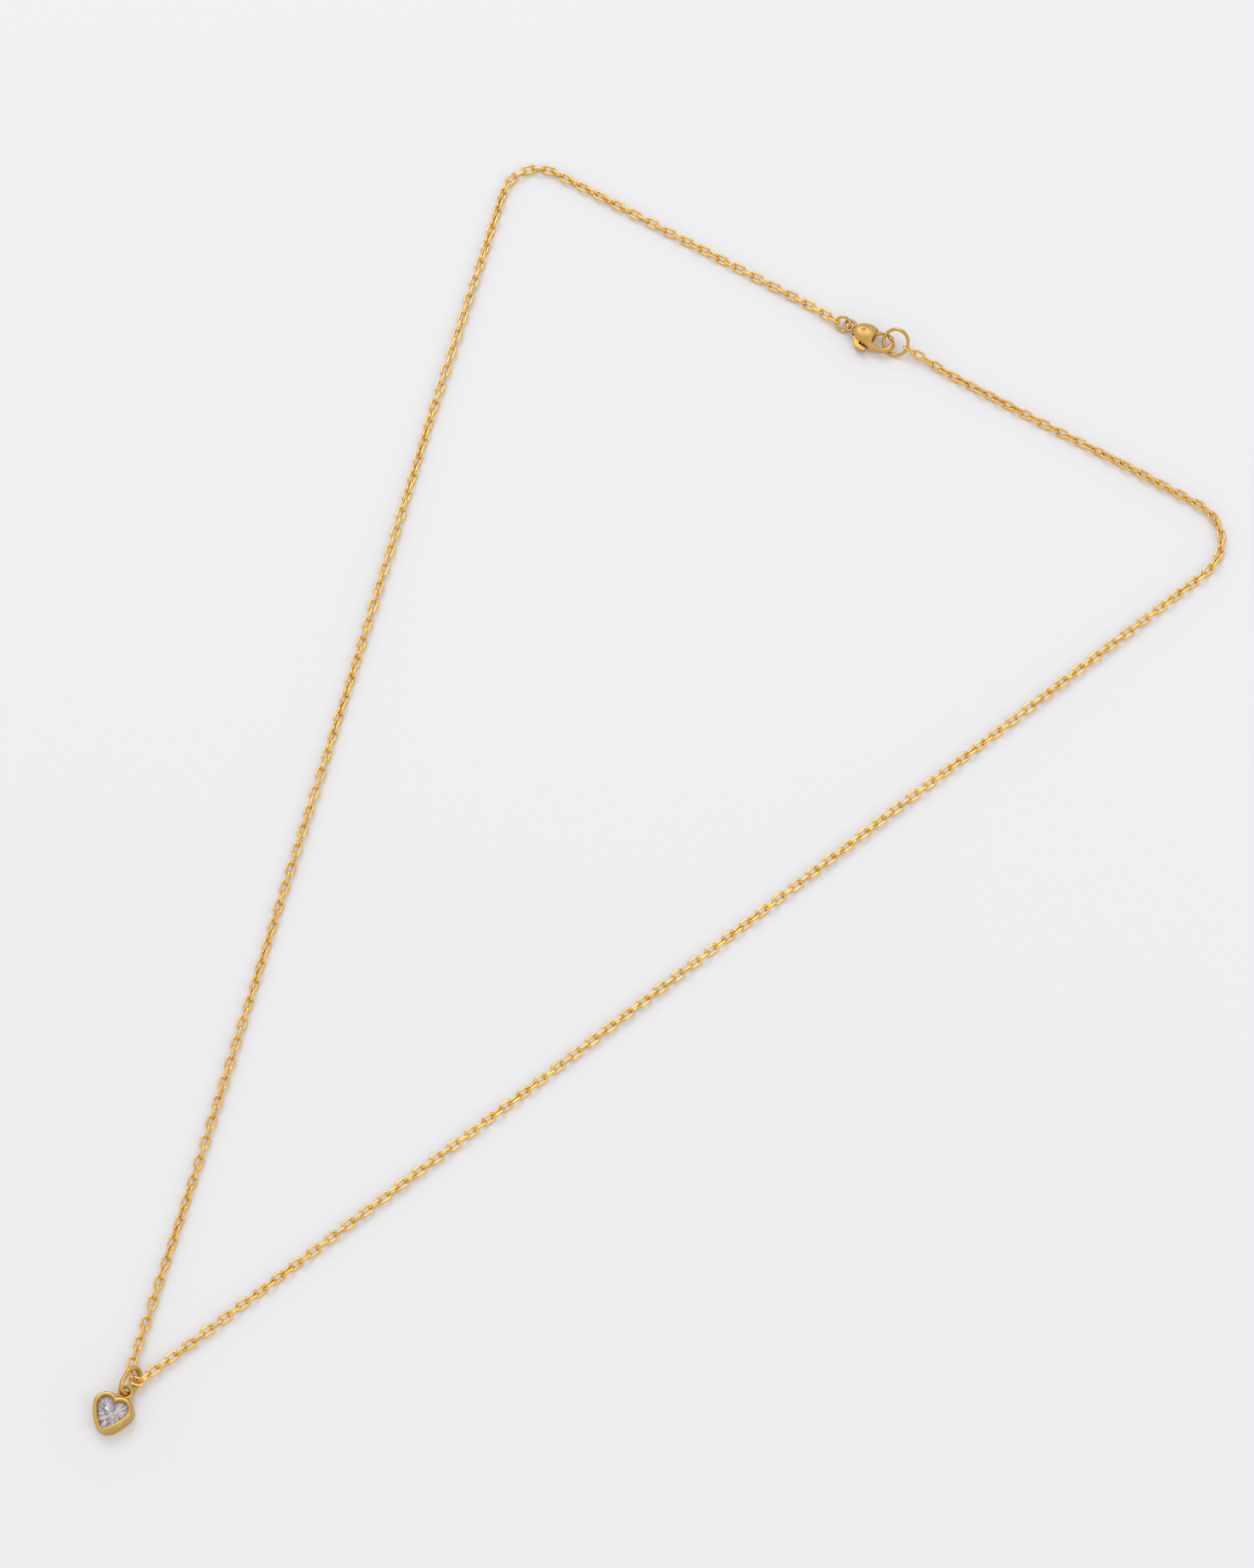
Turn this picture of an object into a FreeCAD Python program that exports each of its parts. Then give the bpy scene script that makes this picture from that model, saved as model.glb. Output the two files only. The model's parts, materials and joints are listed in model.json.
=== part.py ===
import FreeCAD, Part
import Sketcher
import math
import os
from FreeCAD import Matrix, Placement, Rotation, Vector

# A fine cable-chain necklace with a heart pendant, laid flat on a surface.
# Millimetres. The origin is the centre of the pendant's flat back, +Z is up, and +Y
# runs from the pendant up the middle of the loop to the clasp.

doc = FreeCAD.newDocument("pendant_necklace")
sheet = doc.addObject("Spreadsheet::Sheet", "dims")

DIMENSIONS = [
    # chain
    ("link_wire", 0.36, "wire diameter of a chain link"),
    ("link_pitch", 1.37, "distance from one link's middle to the next"),
    ("link_width", 1.27, "outside width of a link"),
    ("link_play", 0.03, "gap between two links' wires where they cross"),
    ("twist_swing", 45.0, "how far the chain twists out of line, degrees"),
    ("twist_run", 27.0, "links in one slow twist and back"),
    # pendant
    ("lobe_radius", 1.05, "radius of each lobe of the bezel's opening"),
    ("lobe_offset", 0.95, "lobe centre from the heart's axis"),
    ("lobe_height", 0.63, "lobe centre above the heart's centre"),
    ("side_radius", 6.0, "radius of the heart's long sides"),
    ("rim_width", 0.6, "bezel's rim seen from the front"),
    ("bezel_height", 2.0, "bezel from back to rim"),
    ("seat_step", 0.1, "how far the seat is wider than the opening"),
    ("seat_top", 1.55, "height where the lip begins"),
    ("back_thickness", 0.35, "back plate"),
    ("heart_turn", 9.2, "heart's axis turned from +Y, degrees"),
    ("girdle_low", 1.36, "bottom of the stone's girdle"),
    ("girdle_high", 1.46, "top of the stone's girdle"),
    ("table_height", 1.84, "height of the stone's table"),
    ("culet_height", 0.5, "height of the stone's lowest point"),
    ("stone_fit", 0.02, "gap between the girdle and the seat"),
    ("loop_radius", 0.78, "pendant loop, centre line"),
    ("loop_wire", 0.5, "pendant loop, wire diameter"),
    ("loop_reach", 3.08, "pendant loop's centre from the origin"),
    ("loop_height", 1.0, "pendant loop's centre above the surface"),
    ("bail_wire", 0.62, "bail, wire diameter"),
    ("bail_length", 3.4, "bail, centre line, lengthwise"),
    ("bail_width", 2.24, "bail, centre line, across"),
    # clasp
    ("clasp_height", 0.95, "middle of the clasp above the surface"),
    ("clasp_thickness", 1.9, "clasp body, top to bottom"),
    ("clasp_width", 3.24, "clasp body, across"),
    ("tail_radius", 0.74, "clasp's tail loop, centre line"),
    ("tail_wire", 0.42, "clasp's tail loop, wire diameter"),
    ("slot_width", 0.86, "slot in the clasp for its trigger"),
    ("trigger_width", 0.78, "trigger plate"),
    ("pin_diameter", 0.5, "trigger's pin"),
    ("pin_clearance", 0.02, "radial gap between pin and trigger"),
    ("jump_radius", 0.96, "jump ring, centre line"),
    ("jump_wire", 0.4, "jump ring, wire diameter"),
    ("end_radius", 1.73, "end ring, centre line"),
    ("end_wire", 0.45, "end ring, wire diameter"),
]
for row, (alias, value, meaning) in enumerate(DIMENSIONS, start=1):
    sheet.set("A%d" % row, meaning)
    sheet.set("B%d" % row, repr(value))
    sheet.setAlias("B%d" % row, alias)
doc.recompute()


def size(alias):
    """A driving dimension, read back from the sheet."""
    return float(getattr(sheet, alias))


# ------------------------------------------------------------------ the chain's geometry
WIRE = size("link_wire")
PITCH = size("link_pitch")
HALF_LENGTH = (PITCH + WIRE + size("link_play")) / 2
END_RADIUS = (size("link_width") - WIRE) / 2
ARC_CENTRE = HALF_LENGTH - END_RADIUS

UP = Vector(0, 0, 1)


def direction(heading, rise=0.0):
    """Unit vector from a heading (degrees from +X towards +Y) and a rise (degrees)."""
    turn = math.radians(heading)
    climb = math.radians(rise)
    return Vector(math.cos(turn) * math.cos(climb), math.sin(turn) * math.cos(climb), math.sin(climb))


def link_placement(centre, along, twist):
    """Place a link with its long axis along a direction; twist 0 lies flat, 90 on edge."""
    along = Vector(along).normalize()
    level = UP.cross(along).normalize()
    turn = math.radians(twist)
    across = level * math.cos(turn) + along.cross(level) * math.sin(turn)
    normal = along.cross(across)
    return Placement(Matrix(along.x, across.x, normal.x, centre.x,
                            along.y, across.y, normal.y, centre.y,
                            along.z, across.z, normal.z, centre.z,
                            0, 0, 0, 1))


def reach(twist):
    """From a link's middle to the point about which its neighbour turns sideways."""
    return ARC_CENTRE + (PITCH - 2 * ARC_CENTRE) * math.sin(math.radians(twist)) ** 2


def resting_height(twist):
    """Height of the chain's centre line where it lies on the surface."""
    turn = math.radians(twist)
    return WIRE / 2 + END_RADIUS * max(abs(math.sin(turn)), abs(math.cos(turn)))


# The three links at the bail: one flat inside it and one on edge at each side.
BAIL_LINK = Vector(0.176, 4.96, 1.035)
BAIL_LINK_HEADING = 12.0
LEFT_EDGE_HEADING = 133.4
RIGHT_EDGE_HEADING = 76.7
EDGE_FALL = -5.0
LONG_REACH = PITCH - ARC_CENTRE


def bail_links():
    """The lowest three links, and the two points where the strands go on."""
    flat = direction(BAIL_LINK_HEADING)
    left = direction(LEFT_EDGE_HEADING, EDGE_FALL)
    right = direction(RIGHT_EDGE_HEADING, EDGE_FALL)
    left_pivot = BAIL_LINK - flat * ARC_CENTRE
    right_pivot = BAIL_LINK + flat * ARC_CENTRE
    links = [link_placement(BAIL_LINK, flat, 0),
             link_placement(left_pivot + left * LONG_REACH, left, 90),
             link_placement(right_pivot + right * LONG_REACH, right, 90)]
    return links, left_pivot + left * 2 * LONG_REACH, right_pivot + right * 2 * LONG_REACH


# The two rings at the clasp: their middles and the directions they face.
JUMP_RING = Vector(-5.476, 174.764, 0.897)
JUMP_RING_NORMAL = direction(-78.0, 45.9)
END_RING = Vector(2.043, 175.927, 1.243)
END_RING_NORMAL = direction(-91.4, 54.4)


def ring_side(centre, normal, radius, toward):
    """Point of a ring's centre line that lies furthest in one direction."""
    spoke = (toward - normal * toward.dot(normal)).normalize()
    return centre + spoke * radius


LEFT_END = ring_side(JUMP_RING, JUMP_RING_NORMAL, size("jump_radius"), Vector(-1, 0, 0))
RIGHT_END = ring_side(END_RING, END_RING_NORMAL, size("end_radius"), Vector(1, 0, 0))

# Route of each side in plan, from the bail over the corner to the clasp's rings.
LEFT_POINTS = [(-10.0, 32.7), (-21.5, 66.9), (-32.9, 101.1), (-44.6, 135.1), (-57.3, 174.0),
               (-46.3, 174.25), (-34.3, 174.45), (-22.3, 174.75), (-10.3, 174.95)]
RIGHT_POINTS = [(11.0, 37.0), (20.5, 65.6), (31.6, 99.7), (40.9, 128.3), (56.6, 176.6),
                (36.4, 176.45), (24.4, 176.1), (12.4, 175.85), (7.4, 175.95)]
LEFT_CORNER = 4
RIGHT_CORNER = 4
LEFT_CORNER_RADIUS = 4.6
RIGHT_CORNER_RADIUS = 6.1
LEFT_END_TWIST = 43.4
RIGHT_END_TWIST = 54.4
LEFT_LINKS = 164
RIGHT_LINKS = 165
RISE_LENGTH = 5.0


def plan_route(start, points, corner, radius, end):
    """Straight runs and one corner arc, as (length, point function) pieces."""
    plan = [Vector(start.x, start.y, 0)]
    plan += [Vector(x, y, 0) for x, y in points]
    plan.append(Vector(end.x, end.y, 0))
    at = corner + 1
    arriving = (plan[at] - plan[at - 1]).normalize()
    leaving = (plan[at + 1] - plan[at]).normalize()
    turn = math.acos(arriving.dot(leaving))
    tangent = radius * math.tan(turn / 2)
    inward = (leaving - arriving).normalize()
    centre = plan[at] + inward * (radius / math.cos(turn / 2))
    arc_start = plan[at] - arriving * tangent
    arc_end = plan[at] + leaving * tangent
    spoke = arc_start - centre
    side = math.copysign(1, arriving.cross(leaving).z)

    def run(a, b):
        along = (b - a).normalize()
        return ((b - a).Length, lambda s: a + along * s)

    def arc(s):
        angle = math.degrees(side * s / radius)
        return centre + Rotation(UP, angle).multVec(spoke)

    pieces = [run(a, b) for a, b in zip(plan[:at - 1], plan[1:at])]
    pieces.append(run(plan[at - 1], arc_start))
    pieces.append((radius * turn, arc))
    pieces.append(run(arc_end, plan[at + 1]))
    pieces += [run(a, b) for a, b in zip(plan[at + 1:-1], plan[at + 2:])]
    return pieces


def route_point(pieces, s):
    """Point at a length along the route; past the end it runs straight on."""
    for length, point in pieces[:-1]:
        if s <= length:
            return point(s)
        s -= length
    return pieces[-1][1](s)


def twist_phase(k, count, end_twist):
    """Slow twist of the chain: out of line and back, and at its end as the ring needs."""
    swing = size("twist_swing") * math.sin(math.pi * k / size("twist_run")) ** 2
    blend = min(1.0, max(0.0, (k - (count - 13)) / 12.0))
    blend = blend * blend * (3 - 2 * blend)
    return swing * (1 - blend) + end_twist * blend


def strand(start, points, corner, radius, end, end_wire, count, end_twist):
    """Placements of one side's links, from the bail to a ring of the clasp."""
    pieces = plan_route(start, points, corner, radius, end)
    total = sum(length for length, _ in pieces)
    phases = [twist_phase(k, count, end_twist) for k in range(count)]
    twists = [90 * k + phase for k, phase in enumerate(phases)]
    crossings = [90 * k + (phases[k] + phases[k + 1]) / 2 for k in range(count - 1)]
    behind = [reach(0)] + [reach(crossing + 90) for crossing in crossings]
    ahead = [reach(crossing) for crossing in crossings]
    ahead.append(HALF_LENGTH - (WIRE + end_wire) / 2 - size("link_play"))
    scale = total / (sum(behind) + sum(ahead))
    pivots = [Vector(start)]
    s = 0.0
    for k in range(count):
        s += (behind[k] + ahead[k]) * scale
        point = route_point(pieces, s)
        rest = resting_height(twists[k])
        near_start = max(0.0, 1 - s / RISE_LENGTH)
        near_end = max(0.0, 1 - (total - s) / RISE_LENGTH)
        lift = (start.z - rest) * near_start + (end.z - rest) * near_end
        pivots.append(Vector(point.x, point.y, rest + lift))
    links = []
    for k in range(count):
        along = (pivots[k + 1] - pivots[k]).normalize()
        centre = pivots[k] + along * (behind[k] * scale)
        links.append((link_placement(centre, along, twists[k]), twists[k]))
    return links, scale


LOWEST, LEFT_START, RIGHT_START = bail_links()
LEFT_STRAND, LEFT_SCALE = strand(LEFT_START, LEFT_POINTS, LEFT_CORNER, LEFT_CORNER_RADIUS, LEFT_END,
                                 size("jump_wire"), LEFT_LINKS, LEFT_END_TWIST)
RIGHT_STRAND, RIGHT_SCALE = strand(RIGHT_START, RIGHT_POINTS, RIGHT_CORNER, RIGHT_CORNER_RADIUS, RIGHT_END,
                                   size("end_wire"), RIGHT_LINKS, RIGHT_END_TWIST)


# ------------------------------------------------------------------ modelling helpers
nodes = []


def plane_of(body, role):
    """One of a body's own origin planes."""
    for feature in body.Origin.OriginFeatures:
        if feature.Role == role:
            return feature
    raise RuntimeError("no plane " + role)


def new_sketch(body, name, role="XY_Plane", height=None):
    sketch = body.newObject("Sketcher::SketchObject", name)
    sketch.AttachmentSupport = [(plane_of(body, role), "")]
    sketch.MapMode = "FlatFace"
    if height is not None:
        sketch.setExpression("AttachmentOffset.Base.z", height)
    return sketch


def bind(sketch, index, expression):
    sketch.setExpression("Constraints[%d]" % index, expression)


def oval_sketch(body, name, length, width):
    """A slot-shaped centre line along X: two half circles and two straights."""
    sketch = new_sketch(body, name)
    quarter = math.pi / 2
    half = 1.0
    radius = 0.5
    right = Part.Circle(Vector(half, 0, 0), UP, radius)
    left = Part.Circle(Vector(-half, 0, 0), UP, radius)
    sketch.addGeometry(Part.ArcOfCircle(right, -quarter, quarter), False)
    sketch.addGeometry(Part.ArcOfCircle(left, quarter, 3 * quarter), False)
    sketch.addGeometry(Part.LineSegment(Vector(half, radius, 0), Vector(-half, radius, 0)), False)
    sketch.addGeometry(Part.LineSegment(Vector(-half, -radius, 0), Vector(half, -radius, 0)), False)
    for arc, end, line, line_end in [(0, 2, 2, 1), (1, 1, 2, 2), (1, 2, 3, 1), (0, 1, 3, 2)]:
        sketch.addConstraint(Sketcher.Constraint("Tangent", arc, end, line, line_end))
    sketch.addConstraint(Sketcher.Constraint("PointOnObject", 0, 3, -1))
    sketch.addConstraint(Sketcher.Constraint("Symmetric", 0, 3, 1, 3, -2))
    sketch.addConstraint(Sketcher.Constraint("Horizontal", 2))
    span = sketch.addConstraint(Sketcher.Constraint("DistanceX", 1, 3, 0, 3, 2 * half))
    arc_radius = sketch.addConstraint(Sketcher.Constraint("Radius", 0, radius))
    bind(sketch, span, "(%s) - (%s)" % (length, width))
    bind(sketch, arc_radius, "(%s) / 2" % width)
    return sketch


def oval_ring(name, length, width, wire):
    """Round wire bent into an oval: a pipe along a slot-shaped centre line."""
    body = doc.addObject("PartDesign::Body", name)
    path = oval_sketch(body, name + "_path", length, width)
    section = new_sketch(body, name + "_section", "YZ_Plane")
    section.addGeometry(Part.Circle(Vector(0.5, 0, 0), UP, 0.2), False)
    place = section.addConstraint(Sketcher.Constraint("DistanceX", -1, 1, 0, 3, 0.5))
    section.addConstraint(Sketcher.Constraint("PointOnObject", 0, 3, -1))
    across = section.addConstraint(Sketcher.Constraint("Diameter", 0, 0.4))
    bind(section, place, "(%s) / 2" % width)
    bind(section, across, wire)
    doc.recompute()
    pipe = body.newObject("PartDesign::AdditivePipe", name + "_wire")
    pipe.Profile = section
    pipe.Spine = (path, ["Edge3", "Edge1", "Edge4", "Edge2"])
    body.Tip = pipe
    doc.recompute()
    return body


HEART_SIDE_TURN = math.radians(-19)


def heart_sketch(body, name, height, grow="0", shrink="1"):
    """A heart's outline: two lobes and two long sides meeting at the tip, point towards -Y.

    grow widens the outline all round, and shrink scales the whole of it."""
    sketch = new_sketch(body, name, "XY_Plane", height)
    lobe = size("lobe_radius")
    centre = Vector(size("lobe_offset"), size("lobe_height"), 0)
    side = size("side_radius")
    outward = Vector(math.cos(HEART_SIDE_TURN), math.sin(HEART_SIDE_TURN), 0)
    side_centre = centre - outward * (side - lobe)
    tip_y = side_centre.y - math.sqrt(side ** 2 - side_centre.x ** 2)
    notch_turn = math.acos(-centre.x / lobe)
    touch_turn = HEART_SIDE_TURN
    tip_turn = math.atan2(tip_y - side_centre.y, -side_centre.x)
    right_lobe = Part.ArcOfCircle(Part.Circle(centre, UP, lobe), touch_turn, notch_turn)
    right_side = Part.ArcOfCircle(Part.Circle(side_centre, UP, side), tip_turn, touch_turn)
    left_centre = Vector(-centre.x, centre.y, 0)
    left_side_centre = Vector(-side_centre.x, side_centre.y, 0)
    half_turn = math.pi
    left_lobe = Part.ArcOfCircle(Part.Circle(left_centre, UP, lobe), half_turn - notch_turn,
                                 half_turn - touch_turn)
    left_side = Part.ArcOfCircle(Part.Circle(left_side_centre, UP, side), half_turn - touch_turn,
                                 half_turn - tip_turn)
    for curve in (right_lobe, right_side, left_lobe, left_side):
        sketch.addGeometry(curve, False)
    sketch.addConstraint(Sketcher.Constraint("Tangent", 1, 2, 0, 1))
    sketch.addConstraint(Sketcher.Constraint("Tangent", 2, 2, 3, 1))
    sketch.addConstraint(Sketcher.Constraint("Coincident", 0, 2, 2, 1))
    sketch.addConstraint(Sketcher.Constraint("Coincident", 1, 1, 3, 2))
    sketch.addConstraint(Sketcher.Constraint("PointOnObject", 0, 2, -2))
    sketch.addConstraint(Sketcher.Constraint("Symmetric", 0, 3, 2, 3, -2))
    sketch.addConstraint(Sketcher.Constraint("Symmetric", 1, 3, 3, 3, -2))
    sizes = [("DistanceX", (-1, 1, 0, 3), centre.x, "<<dims>>.lobe_offset * (%s)" % shrink),
             ("DistanceY", (-1, 1, 0, 3), centre.y, "<<dims>>.lobe_height * (%s)" % shrink),
             ("Radius", (0,), lobe, "(<<dims>>.lobe_radius + %s) * (%s)" % (grow, shrink)),
             ("Radius", (1,), side, "(<<dims>>.side_radius + %s) * (%s)" % (grow, shrink)),
             ("DistanceX", (1, 3, -1, 1), -side_centre.x, None)]
    for kind, where, value, expression in sizes:
        index = sketch.addConstraint(Sketcher.Constraint(kind, *where, value))
        if expression is None:
            expression = "%r * (%s)" % (value, shrink)
        bind(sketch, index, expression)
    return sketch


def pad(body, name, sketch, length):
    feature = body.newObject("PartDesign::Pad", name)
    feature.Profile = sketch
    feature.setExpression("Length", length)
    body.Tip = feature
    doc.recompute()
    return feature


def pocket(body, name, sketch, length):
    before = body.Shape.Volume
    feature = body.newObject("PartDesign::Pocket", name)
    feature.Profile = sketch
    feature.setExpression("Length", length)
    body.Tip = feature
    doc.recompute()
    if body.Shape.Volume > before - 1e-4:
        raise RuntimeError(name + " cuts nothing")
    return feature


def keep(feature, label, placement=None):
    """Give a sub-part its name and place, and list it for export."""
    feature.Label = label
    if placement is not None:
        feature.Placement = placement
    nodes.append(feature)
    return feature


def torus(name, radius, wire, placement):
    ring = doc.addObject("Part::Torus", name)
    ring.setExpression("Radius1", radius)
    ring.setExpression("Radius2", "(%s) / 2" % wire)
    ring.Placement = placement
    return ring


def ring_placement(centre, normal):
    return Placement(centre, Rotation(UP, normal))


# ------------------------------------------------------------------ pendant
HEART = Placement(Vector(0, 0, 0), Rotation(UP, size("heart_turn")))
LOOP_CENTRE = Vector(-0.05, size("loop_reach"), size("loop_height"))
BAIL_CENTRE = Vector(-0.347, 4.582, 1.26)
BAIL_HEADING = 96.2
BAIL_LEAN = 32.7


def make_bezel():
    """Cup wall of the setting: a lip over the stone's edge and a wider seat below it."""
    body = doc.addObject("PartDesign::Body", "bezel")
    outline = heart_sketch(body, "bezel_outline", "0 mm", "<<dims>>.rim_width")
    pad(body, "bezel_wall", outline, "<<dims>>.bezel_height")
    opening = heart_sketch(body, "bezel_opening", "<<dims>>.bezel_height")
    pocket(body, "bezel_mouth", opening, "<<dims>>.bezel_height")
    seat = heart_sketch(body, "bezel_seat", "<<dims>>.seat_top", "<<dims>>.seat_step")
    pocket(body, "bezel_seat_cut", seat, "<<dims>>.seat_top")
    return keep(body, "heart_bezel", HEART)


def make_back_plate():
    body = doc.addObject("PartDesign::Body", "back_plate")
    outline = heart_sketch(body, "back_outline", "0 mm", "<<dims>>.seat_step")
    pad(body, "back_pad", outline, "<<dims>>.back_thickness")
    return keep(body, "bezel_back_plate", HEART)


def make_stone():
    """Heart-cut stone: pavilion, girdle and crown as three lofts and pads."""
    body = doc.addObject("PartDesign::Body", "stone")
    girdle = "<<dims>>.seat_step - <<dims>>.stone_fit"
    low = heart_sketch(body, "girdle_outline", "<<dims>>.girdle_low", girdle)
    pad(body, "girdle", low, "<<dims>>.girdle_high - <<dims>>.girdle_low")
    crown_foot = heart_sketch(body, "crown_foot", "<<dims>>.girdle_high", girdle)
    table = heart_sketch(body, "table_outline", "<<dims>>.table_height", girdle, "0.7")
    pavilion_foot = heart_sketch(body, "pavilion_foot", "<<dims>>.girdle_low", girdle)
    culet = heart_sketch(body, "culet_outline", "<<dims>>.culet_height", girdle, "0.12")
    doc.recompute()
    for name, first, second in [("crown", crown_foot, table), ("pavilion", pavilion_foot, culet)]:
        loft = body.newObject("PartDesign::AdditiveLoft", name)
        loft.Profile = first
        loft.Sections = [second]
        loft.Ruled = True
        body.Tip = loft
        doc.recompute()
    return keep(body, "heart_stone", HEART)


def make_loop(bezel):
    """Small ring soldered into the heart's notch: a torus that ends at the bezel's wall."""
    whole = torus("loop_whole", "<<dims>>.loop_radius", "<<dims>>.loop_wire",
                  Placement(LOOP_CENTRE, Rotation()))
    doc.recompute()
    loop = doc.addObject("Part::Cut", "loop")
    loop.Base = whole
    loop.Tool = bezel
    doc.recompute()
    return keep(loop, "pendant_loop")


def make_bail():
    """Oval ring round the chain, leaning over, with its foot through the pendant's loop."""
    body = oval_ring("bail", "<<dims>>.bail_length", "<<dims>>.bail_width", "<<dims>>.bail_wire")
    place = link_placement(BAIL_CENTRE, direction(BAIL_HEADING), 90 - BAIL_LEAN)
    return keep(body, "bail_ring", place)


# ------------------------------------------------------------------ clasp
CLASP = Vector(-3.8, 174.9, size("clasp_height"))
# Middle line of the hook and the radius of its wire, from inside the body to the tip.
HOOK_SECTIONS = [(1.9, -0.72, 0.72), (3.0, -1.0, 0.58), (4.2, -1.04, 0.42), (5.0, -0.72, 0.385),
                 (5.5, -0.05, 0.37), (5.52, 0.65, 0.34), (5.1, 1.22, 0.29), (4.5, 1.45, 0.24),
                 (4.05, 1.5, 0.19)]
PIN_PLACE = Vector(1.35, 0.15, 0)
SHELL_PLACE = Vector(1.75, 0.05, 0)
SQUARE_TO_LENGTH = Rotation(Vector(0, 1, 0), Vector(0, 0, 1), Vector(1, 0, 0), "XYZ")
# Egg-shaped body: place along it, and its width and thickness as shares of the greatest.
SHELL_SECTIONS = [(-1.88, 0.2, 0.3), (-1.6, 0.5, 0.62), (-1.1, 0.78, 0.86), (-0.4, 0.96, 0.98),
                  (0.25, 1.0, 1.0), (0.8, 0.94, 0.97), (1.2, 0.82, 0.88)]
TAIL_PLACE = Vector(-0.78, 0.12, 0)


def make_hook():
    """Tapered round hook: a loft through circles set square to its middle line."""
    middle = [Vector(x, y, 0) for x, y, _ in HOOK_SECTIONS]
    sections = []
    for i, (x, y, radius) in enumerate(HOOK_SECTIONS):
        before = middle[max(i - 1, 0)]
        after = middle[min(i + 1, len(middle) - 1)]
        circle = doc.addObject("Part::Circle", "hook_section_%d" % i)
        circle.Radius = radius
        circle.Placement = Placement(middle[i], Rotation(UP, after - before))
        sections.append(circle)
    hook = doc.addObject("Part::Loft", "hook")
    hook.Sections = sections
    hook.Solid = True
    hook.Ruled = False
    doc.recompute()
    return hook


def make_shell():
    """Flattened egg: a loft through ellipses set square to its length, blunt at the mouth."""
    sections = []
    for i, (along, width, thickness) in enumerate(SHELL_SECTIONS):
        ellipse = doc.addObject("Part::Ellipse", "shell_section_%d" % i)
        ellipse.setExpression("MajorRadius", "<<dims>>.clasp_width / 2 * %r" % width)
        ellipse.setExpression("MinorRadius", "<<dims>>.clasp_thickness / 2 * %r" % thickness)
        ellipse.Placement = Placement(Vector(along, 0, 0), SQUARE_TO_LENGTH)
        sections.append(ellipse)
    shell = doc.addObject("Part::Loft", "clasp_shell")
    shell.Sections = sections
    shell.Solid = True
    shell.Ruled = False
    shell.Placement = Placement(SHELL_PLACE, Rotation(UP, 6))
    doc.recompute()
    return shell


def box(name, low, high, height):
    """A block between two corners in plan, half of its height below the middle plane."""
    solid = doc.addObject("Part::Box", name)
    solid.Length = high[0] - low[0]
    solid.Width = high[1] - low[1]
    solid.setExpression("Height", height)
    solid.Placement = Placement(Vector(low[0], low[1], 0), Rotation())
    solid.setExpression("Placement.Base.z", "-(%s) / 2" % height)
    return solid


def make_clasp_body():
    """Pear-shaped body with tail loop and hook in one casting, slotted for the trigger."""
    shell = make_shell()
    tail = torus("clasp_tail", "<<dims>>.tail_radius", "<<dims>>.tail_wire",
                 Placement(TAIL_PLACE, Rotation()))
    hook = make_hook()
    side_slot = box("clasp_side_slot", (0.28, -2.4), (1.9, 0.9), "<<dims>>.slot_width")
    nose_slot = box("clasp_nose_slot", (0.9, -0.36), (3.8, 1.34), "<<dims>>.slot_width")
    solid = doc.addObject("Part::MultiFuse", "clasp_solid")
    solid.Shapes = [shell, tail, hook]
    slots = doc.addObject("Part::MultiFuse", "clasp_slots")
    slots.Shapes = [side_slot, nose_slot]
    slotted = doc.addObject("Part::Cut", "clasp_slotted")
    slotted.Base = solid
    slotted.Tool = slots
    hole = doc.addObject("Part::Cylinder", "clasp_pin_hole")
    hole.setExpression("Radius", "<<dims>>.pin_diameter / 2")
    hole.Height = 3.0
    hole.Placement = Placement(PIN_PLACE - UP * 1.5, Rotation())
    body = doc.addObject("Part::Cut", "clasp_cast")
    body.Base = slotted
    body.Tool = hole
    doc.recompute()
    return keep(body, "clasp_body", Placement(CLASP, Rotation()))


TRIGGER_OUTLINE = [(1.0, 0.75), (2.2, 1.2), (2.75, 1.05), (2.75, 0.55), (1.9, 0.0), (1.62, -0.9),
                   (1.72, -1.68), (2.85, -1.88), (2.95, -2.1), (2.6, -2.32), (1.5, -2.3), (0.5, -1.2),
                   (0.75, -0.3)]
NOSE_FOOT = Vector(2.4, 0.78, 0)
NOSE_TIP = Vector(3.78, 1.4, 0)


def make_trigger():
    """Lever: a flat plate with a thumb tab outside the body and a round nose at the mouth."""
    plate = doc.addObject("PartDesign::Body", "trigger_plate")
    sketch = new_sketch(plate, "trigger_outline", "XY_Plane", "-<<dims>>.trigger_width / 2")
    count = len(TRIGGER_OUTLINE)
    for i, (x, y) in enumerate(TRIGGER_OUTLINE):
        next_x, next_y = TRIGGER_OUTLINE[(i + 1) % count]
        sketch.addGeometry(Part.LineSegment(Vector(x, y, 0), Vector(next_x, next_y, 0)), False)
    for i, (x, y) in enumerate(TRIGGER_OUTLINE):
        sketch.addConstraint(Sketcher.Constraint("Coincident", i, 2, (i + 1) % count, 1))
        sketch.addConstraint(Sketcher.Constraint("DistanceX", -1, 1, i, 1, x))
        sketch.addConstraint(Sketcher.Constraint("DistanceY", -1, 1, i, 1, y))
    pad(plate, "trigger_pad", sketch, "<<dims>>.trigger_width")
    nose = doc.addObject("Part::Cone", "trigger_nose")
    nose.Radius1 = 0.39
    nose.Radius2 = 0.17
    nose.Height = (NOSE_TIP - NOSE_FOOT).Length
    nose.Placement = Placement(NOSE_FOOT, Rotation(UP, NOSE_TIP - NOSE_FOOT))
    lever = doc.addObject("Part::MultiFuse", "trigger_lever")
    lever.Shapes = [plate, nose]
    bore = doc.addObject("Part::Cylinder", "trigger_bore")
    bore.setExpression("Radius", "<<dims>>.pin_diameter / 2 + <<dims>>.pin_clearance")
    bore.Height = 2.0
    bore.Placement = Placement(PIN_PLACE - UP, Rotation())
    trigger = doc.addObject("Part::Cut", "trigger")
    trigger.Base = lever
    trigger.Tool = bore
    doc.recompute()
    return keep(trigger, "clasp_trigger", Placement(CLASP, Rotation()))


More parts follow.
